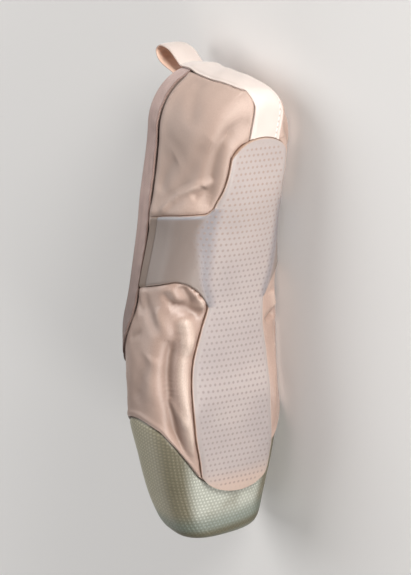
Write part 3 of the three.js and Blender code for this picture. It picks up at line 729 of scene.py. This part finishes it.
def binding_profile():
    """Rows across the tape: distance below the collar's edge, and distance out from the last."""
    middle, half = (BINDING_FACE + BINDING_BACK) / 2, (BINDING_FACE - BINDING_BACK) / 2
    rows = [(BINDING_OUTSIDE, 0.3)]
    rows += [(drop, BINDING_FACE) for drop in np.linspace(BINDING_OUTSIDE, 0.4, 20)]
    for turn in np.linspace(0, math.pi, 13)[1:-1]:
        rows.append((0.2 - 1.1 * math.sin(turn), middle + half * math.cos(turn)))
    rows += [(drop, BINDING_BACK) for drop in np.linspace(0.4, BINDING_INSIDE, 14)]
    return rows + [(BINDING_INSIDE, -2.6)]


def binding_piece():
    half = np.concatenate([steps(230), 1 + steps(120)[1:]])
    share = np.concatenate([half, half[-2:0:-1], half[:1]])
    side = np.where(np.arange(len(share)) < len(half), OUTER, INNER)
    side[-1] = OUTER
    rows = [raised(collar_place(side, share, drop), out) for drop, out in binding_profile()]
    along = run_length(last_point(*collar_place(side, share, 0)))[:, None]
    width = np.concatenate([[-0.9], np.linspace(0, 9.6, 20), np.linspace(9.9, 15, 11),
                            np.linspace(15.3, 22, 14), [23]])
    wave = (0.12 * np.sin(along * 0.9) + 0.1 * np.sin(along * 0.37 + 1)) * bell(width - 1, 3)
    outward = last_normal(*collar_place(side, share, BINDING_OUTSIDE / 2))[:, None]
    # Field edge: painted shadow along the tape's lower outside edge.
    block = {"point": np.stack(rows, 1) + outward * wave[..., None],
             "uv": np.stack(np.broadcast_arrays(along, width), -1),
             "fields": {"edge": bell(np.maximum(width, 0), 0.8)}}
    return make_piece("collar_tape", [block], "collar_binding", sharp=60)


# Heel strip and pull loop.
STRIP_HALF_WIDTH, STRIP_SEWN_TOP = 8.6, 43.2
STRIP_OVER_TAPE, TAPE_CROSSING = 1.2, (37, 47)
RIBBON_HALF, RIBBON_EDGE = 0.45, 0.25
STITCH_ROW, STITCH_PITCH = 2.2, 2.6
STRIP_UNDER_END, STRIP_SHIFT_SOLE, STRIP_SHIFT_END = 12, -1.6, -3.8
STRIP_CLIMB = ((6.5, -2.6), (9.5, -1.2), (14, 0), (19, 0.9), (25, 1.8), (32, 1.9), (38.5, 1.2),
               (43.2, 0.4), (47, -0.4), (51, -0.9), (57, -1.2))
LOOP_SHIFT, LOOP_WIDTH, LOOP_SEAT, LOOP_TOP, LOOP_TOP_CURVE = -1.2, 15, 57, 78, 0.4
LOOP_LINE = ((8, 58.1), (5.5, 62.5), (3, 68.5), (3.2, 75), (6.6, 78), (10.4, 75.4), (12.2, 70),
             (13.4, 63.5), (15.2, 57.6), (14.8, 53), (13.2, 48))


def place_behind(height, y):
    """Place on the heel's back at a height and a sideways distance."""
    side = np.where(y < 0, INNER, OUTER)
    near, far = np.zeros(np.shape(y)), np.full(np.shape(y), float(HEEL_AXIS))
    for _ in range(30):
        q = (near + far) / 2
        short = np.abs(last_point(side, q, angle_at_height(side, q, height))[..., 1]) < np.abs(y)
        near, far = np.where(short, q, near), np.where(short, far, q)
    return side, near, angle_at_height(side, near, height)


def strip_places(columns):
    """Rows of places from the sole's end, under the heel and up its back to the collar."""
    rows = []
    middle = (TREAD[0][1] + TREAD[0][2]) / 2
    for share in steps(14):
        y = columns + mix(STRIP_SHIFT_SOLE, STRIP_SHIFT_END, share)
        across = np.clip((y - middle) / (TREAD[0][1] - middle), -1, 1)
        rows.append(place_under(mix(tread_rear(across) - SEAM_GAP, STRIP_UNDER_END, share), y))
    climb = []
    sewn = np.linspace(STRIP_CLIMB[0][0], STRIP_SEWN_TOP, 44)
    for height in np.concatenate([sewn, np.linspace(STRIP_SEWN_TOP + 0.4, LOOP_SEAT, 18)]):
        climb.append(place_behind(height, columns + column(STRIP_CLIMB, 1, height)))
    first, last = rows[-1], climb[0]
    for share in steps(12)[1:-1]:
        q = mix(first[0] * first[1], last[0] * last[1], share)
        rows.append((np.where(q < 0, INNER, OUTER), np.abs(q), mix(first[2], last[2], share)))
    return rows + climb


def loop_line(count):
    """Smooth curve through the loop's points, evenly spaced."""
    points = np.asarray(LOOP_LINE, float)
    ends = np.vstack([2 * points[0] - points[1], points, 2 * points[-1] - points[-2]])
    t = np.linspace(0, 1, 30, endpoint=False)[:, None]
    dense = []
    for i in range(1, len(ends) - 2):
        p0, p1, p2, p3 = ends[i - 1:i + 3]
        dense.append(0.5 * (2 * p1 + (p2 - p0) * t + (2 * p0 - 5 * p1 + 4 * p2 - p3) * t ** 2
                            + (3 * p1 - p0 - 3 * p2 + p3) * t ** 3))
    dense = np.vstack(dense + [points[-1:]])
    length = run_length(dense)
    at = np.linspace(0, length[-1], count)
    return np.column_stack([np.interp(at, length, dense[:, i]) for i in (0, 1)]), at


def loop_sheet(across):
    """Middle of the loop's band, its outward direction, and the lengths along it and across it."""
    line, along = loop_line(110)
    tangent = np.gradient(line, axis=0)
    tangent /= np.linalg.norm(tangent, axis=1, keepdims=True)
    outward = np.stack([-tangent[:, 1], 0 * along, tangent[:, 0]], -1)[:, None]
    y = LOOP_SHIFT + across
    seat = last_point(*place_behind(LOOP_SEAT, y))[:, 0]
    depth = seat - last_point(*place_behind(LOOP_SEAT, np.array([0.0])))[0, 0]
    rise = part_of(line[:, 1], LOOP_SEAT, LOOP_TOP)
    curve = mix(1, LOOP_TOP_CURVE, rise)[:, None]
    middle = np.stack([line[:, :1] + curve * depth, 0 * curve + y, line[:, 1:] + 0 * y], -1)
    return middle, outward, along[:, None] + 0 * y, y + 0 * along[:, None]


def loop_piece():
    across = LOOP_WIDTH * np.linspace(-0.5, 0.5, 25)
    middle, outward, along, y = loop_sheet(across)
    wave = 0.15 * np.sin(along * 0.55) * np.cos(across * 0.27) * smooth(along, 0, 6)
    middle = middle + outward * wave[..., None]
    edge = LOOP_WIDTH / 2 - np.abs(across)
    half = mix(RIBBON_EDGE, RIBBON_HALF, smooth(edge, 0, 0.8))[:, None]
    blocks = []
    # Field for the ribbon's edges: painted shade along them.
    for inside in (0, 1):
        blocks.append({"point": middle + outward * half * (1 - 2 * inside), "rim": middle,
                       "uv": np.stack([along, y], -1), "flip": bool(inside),
                       "fields": {"seam_shade": bell(edge, 0.5), "inside": inside}})
    return make_piece("heel_loop", blocks, "pull_loop", weld=0.0004, sharp=60)


def strip_piece():
    columns = np.linspace(-STRIP_HALF_WIDTH, STRIP_HALF_WIDTH, 37)
    place = [np.stack(values) for values in zip(*strip_places(columns))]
    base = last_point(*place)
    height = base[..., 2]
    over_tape = STRIP_OVER_TAPE * smooth(height, *TAPE_CROSSING)
    edge = STRIP_HALF_WIDTH - np.abs(columns)
    crown = 0.7 + 0.25 * smooth(edge, 0, 3) + 0.12 * np.sin(0.5 * height + 0.4 * columns)
    crown = crown - 0.35 * bell(edge - 1.1, 0.5)
    point = raised(place, SEAM_GAP + crown + over_tape)
    under = raised(place, SEAM_GAP / 2 + over_tape)
    middle, outward = loop_sheet(columns * LOOP_WIDTH / 2 / STRIP_HALF_WIDTH)[:2]
    into_loop = smooth(height, 45, LOOP_SEAT)[..., None]
    point = mix(point, (middle + outward * RIBBON_HALF)[0], into_loop)
    under = mix(under, middle[0], into_loop)
    # Painted shade along the strip's edges.
    fields = {"seam_shade": bell(edge, 0.5), "inside": 0,
              "stitch": bell(columns + STRIP_HALF_WIDTH - STITCH_ROW, 0.35)}
    block = {"point": point, "rim": under, "uv": arc_uv(base), "fields": fields}
    return make_piece("heel_ribbon", [block], "heel_strip", flip=True, sharp=60)


# Insole and lining.
INSOLE_REAR, INSOLE_REAR_ROUND, INSOLE_FRONT, INSOLE_FRONT_ROUND = 10, 24, 198, 30
INSOLE_SHARE, INSOLE_GAP, INSOLE_THICKNESS, INSOLE_EDGE = 0.7, 0.6, 1.5, 0.9
LINING_FOLDS, LINING_MOST_LIFT, LINING_CLEAR = 0.7, 0.6, (8, 14)


def insole_piece():
    across = np.sin(np.linspace(-1, 1, 45) * math.pi / 2)
    rear = INSOLE_REAR + INSOLE_REAR_ROUND * round_end(across)
    front = INSOLE_FRONT - INSOLE_FRONT_ROUND * round_end(across)
    x = mix(rear, front, steps(150)[:, None])
    section = section_at(np.maximum(x, HEEL_AXIS))
    half = INSOLE_SHARE * np.where(across > 0, section["outer"], section["inner"])
    place = place_under(x, section["mid"] + across * half)
    under = WALL + INSOLE_GAP
    thick = mix(INSOLE_EDGE, INSOLE_THICKNESS, smooth(1 - np.abs(across), 0, 0.06))
    block = {"point": raised(place, -under - thick), "rim": raised(place, -under),
             "uv": last_point(*place)[..., :2]}
    return make_piece("insole_board", [block], "insole", sharp=50)


def lining_piece():
    place = upper_grid(120, 20, 70)
    base = last_point(*place)
    below_collar = column(COLLAR, 1, place[1]) - base[..., 2]
    lift = LINING_FOLDS * fold_lift(base) * smooth(below_collar, *LINING_CLEAR)
    blocks = [{"point": raised(place, np.minimum(lift, LINING_MOST_LIFT) - WALL), "uv": arc_uv(base)}]
    across = steps(70)
    share = np.linspace(0, 1.9, 60)[:, None]
    for side in SIDES:
        angle = across * math.pi + 0 * share
        for _ in range(ANGLE_PASSES):
            q = toe_distance(angle, 0, share)
            angle = mix(opening_angle(side, q), math.pi, across)
        place = (side, q, angle)
        depth = WALL + CAP_RECESS * smooth(q - cap_edge(angle), 0, 4)
        blocks.append({"point": raised(place, -depth), "uv": arc_uv(last_point(*place)), "flip": side < 0})
    return make_piece("cotton_lining", blocks, None, flip=True, sharp=60)


# Materials.
class Tree:
    """A material's nodes. Its colour is built up in layers, from the lowest to the top one."""

    def __init__(self, name):
        self.material = bpy.data.materials.new(name)
        self.material.use_nodes = True
        self.tree = self.material.node_tree
        self.shader = self.tree.nodes["Principled BSDF"]
        self.color = None

    def finish(self, **values):
        for name, value in {"base_color": self.color, **values}.items():
            socket = self.shader.inputs[name.replace("_", " ").title().replace("Ior", "IOR")]
            self.put(socket, value)
        return self.material

    def put(self, socket, value):
        if isinstance(value, bpy.types.NodeSocket):
            self.tree.links.new(value, socket)
        elif socket.type == "RGBA" and len(value) == 3:
            socket.default_value = (*value, 1)
        else:
            socket.default_value = value

    def node(self, kind, output=0, props=None, **inputs):
        node = self.tree.nodes.new("ShaderNode" + kind)
        for name, value in (props or {}).items():
            setattr(node, name, value)
        for name, value in inputs.items():
            self.put(node.inputs[int(name[1:]) if name[1:].isdigit() else name], value)
        return node.outputs[output]

    def math(self, operation, a, b=0.0, c=0.0):
        return self.node("Math", props={"operation": operation}, i0=a, i1=b, i2=c)

    def attribute(self, name):
        return self.node("Attribute", "Fac", {"attribute_name": name})

    def uv(self):
        return self.node("UVMap", props={"uv_map": "mm"})

    def axis(self, vector, index):
        return self.node("SeparateXYZ", index, None, Vector=vector)

    def noise(self, vector, scale, detail=2.0, roughness=0.5):
        inputs = {"Vector": vector, "Scale": scale, "Detail": detail, "Roughness": roughness}
        return self.node("TexNoise", "Fac", None, **inputs)

    def scaled(self, vector, scale):
        return self.node("VectorMath", props={"operation": "MULTIPLY"}, i0=vector, i1=scale)

    def place(self):
        return self.node("TexCoord", "Object")

    def span(self, value, low, high, to_low=0.0, to_high=1.0):
        props = {"interpolation_type": "SMOOTHSTEP"}
        return self.node("MapRange", 0, props, i0=value, i1=low, i2=high, i3=to_low, i4=to_high)

    def blend(self, share, a, b):
        return self.node("Mix", 2, {"data_type": "RGBA"}, i0=share, i6=a, i7=b)

    def over(self, share, tone):
        self.color = self.blend(share, self.color, tone)

    def tint(self, share, strength, tone):
        self.over(self.math("MULTIPLY", share, strength), tone)

    def field(self, name, low, high, strength=1.0):
        return self.span(self.attribute(name), low, high, 0, strength)

    def along(self, low, high, strength=1.0):
        """Strength along the shoe, between two places on the part's x axis in metres."""
        return self.span(self.axis(self.place(), 0), low, high, 0, strength)

    def fibres(self, vector, scale, detail, roughness=0.5):
        return self.noise(self.scaled(vector, scale), 1.0, detail, roughness)

    def mottle(self, vector, scale, detail, dark, light):
        """Lowest layer: two tones that change slowly over the piece."""
        slow = self.noise(vector, scale, detail)
        self.color = self.blend(self.span(slow, 0.3, 0.7), dark, light)
        return slow

    def bump(self, height, strength, distance, normal=None):
        inputs = {"Height": height, "Strength": strength, "Distance": distance * MM}
        if normal is not None:
            inputs["Normal"] = normal
        return self.node("Bump", 0, None, **inputs)

    def lattice(self, vector, pitch_u, pitch_v):
        """Distance from the nearest point of a staggered lattice, in millimetres."""
        nearest = FAR
        for shift in (0.0, 0.5):
            squares = []
            for index, pitch in ((0, 2 * pitch_u), (1, pitch_v)):
                at = self.math("MULTIPLY_ADD", self.axis(vector, index), 1 / pitch, shift)
                away = self.math("MULTIPLY", self.math("SUBTRACT", at, self.math("ROUND", at)), pitch)
                squares.append(self.math("MULTIPLY", away, away))
            nearest = self.math("MINIMUM", self.math("ADD", *squares), nearest)
        return self.math("SQRT", nearest)


def satin_material():
    tree = Tree("satin")
    uv = tree.uv()
    tree.mottle(tree.place(), 28, 3, (0.37, 0.262, 0.217), (0.45, 0.325, 0.272))
    # Painted shade in the folds' troughs and painted highlight on their crests.
    tree.over(tree.field("fold", 0.2, -2.6, 0.6), (0.20, 0.13, 0.10))
    tree.over(tree.field("fold", 0.3, 2.4, 0.6), (0.66, 0.54, 0.46))
    grain = tree.fibres(uv, (0.9, 2.2, 1), 4, 0.7)
    tree.over(tree.span(grain, 0.35, 0.7, 0, 0.36), (0.27, 0.185, 0.15))
    # Painted shade along the seams and in the recess under the satin's lip at the toe cap.
    tree.over(tree.field("seam_shade", 0.1, 0.95, 0.85), (0.075, 0.035, 0.022))
    heel = tree.along(0.03, 0.065)
    tree.tint(heel, 0.12, (0.62, 0.52, 0.45))
    threads = tree.fibres(uv, (0.5, 6.0, 1), 2, 0.6)
    weft = tree.fibres(uv, (5.0, 0.35, 1), 2, 0.6)
    creases = tree.fibres(tree.place(), (90, 130, 130), 3, 0.55)
    normal = tree.bump(creases, 0.12, 0.6)
    normal = tree.bump(tree.math("ADD", threads, weft), 0.3, 0.12, normal)
    roughness = tree.math("MULTIPLY_ADD", heel, 0.16, tree.span(threads, 0.3, 0.7, 0.42, 0.54))
    return tree.finish(roughness=roughness, normal=normal, sheen_weight=0.2, sheen_roughness=0.35,
                       sheen_tint=(1.0, 0.92, 0.87), specular_IOR_level=0.8, anisotropic=0.4)


def sole_material():
    tree = Tree("moulded_sole")
    uv = tree.uv()
    dot = tree.span(tree.lattice(uv, *DOT_PITCH), 0.3, 0.95, 1, 0)
    mask = tree.math("MULTIPLY", dot, tree.attribute("dots"))
    tree.mottle(tree.place(), 22, 2, (0.355, 0.312, 0.303), (0.415, 0.362, 0.345))
    # Painted shade where the tread turns up into the wings.
    tree.tint(tree.attribute("bend_shade"), 0.6, (0.17, 0.17, 0.195))
    tree.over(tree.field("wing", 0.1, 1.0, 0.8), (0.21, 0.165, 0.142))
    tree.over(tree.field("wing", 1.1, 1.9, 0.7), (0.20, 0.14, 0.105))
    tree.tint(tree.attribute("lip"), 0.8, (0.29, 0.295, 0.325))
    tree.tint(tree.attribute("toe"), 0.5, (0.60, 0.42, 0.32))
    dot_color = tree.blend(tree.along(0.02, 0.06), (0.21, 0.165, 0.17), (0.30, 0.20, 0.16))
    tree.tint(mask, 0.6, dot_color)
    tree.over(tree.field("rim", 0.7, 1.3, 0.7), (0.52, 0.34, 0.24))
    tree.over(tree.field("rim", 1.3, 1.9, 0.9), (0.14, 0.06, 0.03))
    fine = tree.fibres(uv, (1.4, 1.4, 1), 3)
    normal = tree.bump(tree.math("SUBTRACT", 1.0, mask), 0.25, 0.25)
    normal = tree.bump(fine, 0.05, 0.15, normal)
    return tree.finish(roughness=tree.span(fine, 0.3, 0.7, 0.38, 0.5), normal=normal,
                       specular_IOR_level=0.45, coat_weight=0.15, coat_roughness=0.35,
                       subsurface_weight=0.12, subsurface_scale=0.5,
                       subsurface_radius=(0.004, 0.0025, 0.002))


def cap_material():
    tree = Tree("toe_cap")
    scale = tree.span(tree.lattice(tree.uv(), *CAP_SCALE_PITCH), 0.3, 0.82, 1, 0)
    place = tree.place()
    slow = tree.mottle(place, 35, 3, (0.17, 0.15, 0.10), (0.22, 0.195, 0.135))
    # Painted light on the outer flank.
    tree.tint(tree.attribute("flank"), 0.85, (0.52, 0.48, 0.355))
    # Painted highlight underneath, inside the lower corners, broken by the mottle.
    painted_underside_light = tree.math("MULTIPLY", tree.attribute("under"), tree.span(slow, 0.1, 0.45))
    tree.tint(painted_underside_light, 0.9, (0.60, 0.62, 0.555))
    # Painted shade towards the platform, in a darker teal.
    tree.tint(tree.along(-0.099, -0.109), 0.75, (0.15, 0.19, 0.165))
    corner = tree.math("ABSOLUTE", tree.math("SUBTRACT", tree.axis(place, 0), CAP_RIM_X))
    tree.over(tree.span(corner, 0, 0.0055, 0.9, 0), (0.10, 0.08, 0.034))
    tree.tint(tree.math("SUBTRACT", 1.0, scale), 0.38, (0.10, 0.10, 0.065))
    # Painted shadow along the cap's edge, under the satin's lip.
    tree.over(tree.field("edge", 0.3, 1.0, 0.9), (0.05, 0.035, 0.025))
    return tree.finish(roughness=0.42, normal=tree.bump(scale, 0.7, 0.25), specular_IOR_level=0.45,
                       coat_weight=0.1, coat_roughness=0.4)


def tape_material():
    tree = Tree("woven_tape")
    uv = tree.uv()
    knot = tree.span(tree.lattice(uv, *KNOT_PITCH), 0.18, 0.6, 1, 0)
    tree.mottle(tree.scaled(uv, (0.12, 0.4, 1)), 1.0, 2, (0.44, 0.31, 0.28), (0.54, 0.385, 0.35))
    # Painted shade: the tape darker towards the throat, where it turns away from the light.
    tree.over(tree.along(0.06, -0.01, 0.8), (0.20, 0.142, 0.127))
    tree.tint(knot, 0.6, (0.15, 0.10, 0.085))
    # Painted shadow along the tape's lower outside edge.
    tree.over(tree.field("edge", 0.3, 1.0, 0.6), (0.16, 0.10, 0.08))
    fibre = tree.fibres(uv, (3, 3, 1), 3)
    normal = tree.bump(tree.math("SUBTRACT", fibre, knot), 0.5, 0.22)
    return tree.finish(roughness=0.72, normal=normal, sheen_weight=0.2, sheen_roughness=0.5)


def ribbon_material():
    tree = Tree("ribbon")
    uv = tree.uv()
    tree.mottle(tree.place(), 40, 2, (0.58, 0.505, 0.465), (0.65, 0.575, 0.535))
    tree.over(tree.attribute("inside"), (0.80, 0.56, 0.44))
    # Painted shade along the ribbon's edges.
    tree.over(tree.field("seam_shade", 0.4, 1.0, 0.45), (0.45, 0.33, 0.28))
    turn = tree.math("FRACT", tree.math("MULTIPLY", tree.axis(uv, 0), 1 / STITCH_PITCH))
    dash = tree.span(tree.math("ABSOLUTE", tree.math("SUBTRACT", turn, 0.5)), 0.28, 0.38, 1, 0)
    row = tree.field("stitch", 0.2, 0.7)
    tree.tint(row, 0.5, (0.42, 0.34, 0.30))
    stitch = tree.math("MULTIPLY", row, dash)
    tree.over(stitch, (0.82, 0.77, 0.73))
    normal = tree.bump(tree.noise(tree.place(), 180, 3), 0.15, 0.5)
    normal = tree.bump(stitch, 0.5, 0.3, normal)
    normal = tree.bump(tree.fibres(uv, (4.5, 0.3, 1), 2, 0.6), 0.2, 0.12, normal)
    return tree.finish(roughness=0.44, normal=normal, sheen_weight=0.3, sheen_roughness=0.4)


def lining_material():
    tree = Tree("lining")
    tree.mottle(tree.place(), 30, 3, (0.62, 0.44, 0.34), (0.72, 0.53, 0.42))
    normal = tree.bump(tree.fibres(tree.uv(), (3.2, 3.2, 1), 3, 0.6), 0.4, 0.2)
    return tree.finish(roughness=0.85, normal=normal, sheen_weight=0.15, sheen_roughness=0.6)


ribbon = ribbon_material()
lining = lining_material()
for piece, material in (
    (upper_piece(), satin_material()),
    (outsole_piece(), sole_material()),
    (cap_piece(), cap_material()),
    (binding_piece(), tape_material()),
    (strip_piece(), ribbon),
    (loop_piece(), ribbon),
    (insole_piece(), lining),
    (lining_piece(), lining),
):
    piece.data.materials.append(material)


# Stage.
FLOOR_SIZE = 6
LIGHT_AIM = (0, 0, 0.03)


def make_floor():
    mesh = bpy.data.meshes.new("floor")
    corners = [(FLOOR_SIZE * x, FLOOR_SIZE * y, 0) for x, y in ((-1, -1), (1, -1), (1, 1), (-1, 1))]
    mesh.from_pydata(corners, [], [(0, 1, 2, 3)])
    floor = add_object("floor", mesh)
    tree = Tree("floor")
    tree.color = (0.84, 0.83, 0.82)
    mesh.materials.append(tree.finish(roughness=0.7))


def area_light(name, place, size, power, color):
    light = bpy.data.lights.new(name, "AREA")
    light.shape = "RECTANGLE"
    light.size, light.size_y = size
    light.energy = power
    light.color = color
    lamp = add_object(name, light)
    lamp.location = place
    lamp.rotation_euler = (Vector(LIGHT_AIM) - Vector(place)).to_track_quat("-Z", "Y").to_euler()


make_floor()
world = bpy.data.worlds.new("studio")
scene.world = world
world.use_nodes = True
background = world.node_tree.nodes["Background"]
background.inputs["Color"].default_value = (1.0, 0.99, 0.98, 1)
background.inputs["Strength"].default_value = 0.11
scene.view_settings.view_transform = "Standard"
area_light("key", (0.85, -0.8, 0.2), (0.45, 0.36), 16, (1.0, 0.97, 0.94))
area_light("front", (-0.2, -1.15, 0.26), (0.3, 0.3), 6, (1.0, 0.98, 0.96))
area_light("top", (0.4, 1.0, 1.15), (1.2, 1.2), 15, (1.0, 0.99, 0.98))
area_light("toe", (-1.1, 0.5, 0.8), (1.0, 1.0), 3.5, (1.0, 0.98, 0.96))

# Camera at the photograph's angle to the shoe: it looks at the sole and the outer side, heel up.
VIEW_TILT, VIEW_TURN, VIEW_ROLL = (math.radians(v) for v in (38.09, 21.72, 4.04))
VIEW_DISTANCE = 1400
VIEW_TARGET = np.array((115.0, 0, 22))
VIEW_SHIFT = (-7.2, 2.4)
PHOTO_PIXELS_PER_MM = 1.5921
CLOSER = 1.29
IMAGE_HEIGHT = 575


def make_camera():
    away = np.array((
        -math.sin(VIEW_TURN),
        math.cos(VIEW_TURN) * math.sin(VIEW_TILT),
        -math.cos(VIEW_TURN) * math.cos(VIEW_TILT),
    ))
    level = np.cross(-away, (-1, 0, 0))
    level /= np.linalg.norm(level)
    upright = np.cross(level, -away)
    right = level * math.cos(VIEW_ROLL) + upright * math.sin(VIEW_ROLL)
    up = upright * math.cos(VIEW_ROLL) - level * math.sin(VIEW_ROLL)
    place = VIEW_TARGET + away * VIEW_DISTANCE + right * VIEW_SHIFT[0] + up * VIEW_SHIFT[1]
    turned = np.eye(4)
    for i, axis in enumerate((right, up, away)):
        turned[:3, i] = LAID @ axis
    turned[:3, 3] = to_world(place)
    data = bpy.data.cameras.new("camera")
    data.sensor_width = 36
    data.lens = data.sensor_width * CLOSER * PHOTO_PIXELS_PER_MM * VIEW_DISTANCE / IMAGE_HEIGHT
    camera = add_object("camera", data)
    camera.matrix_world = Matrix(turned.tolist())
    scene.camera = camera


make_camera()
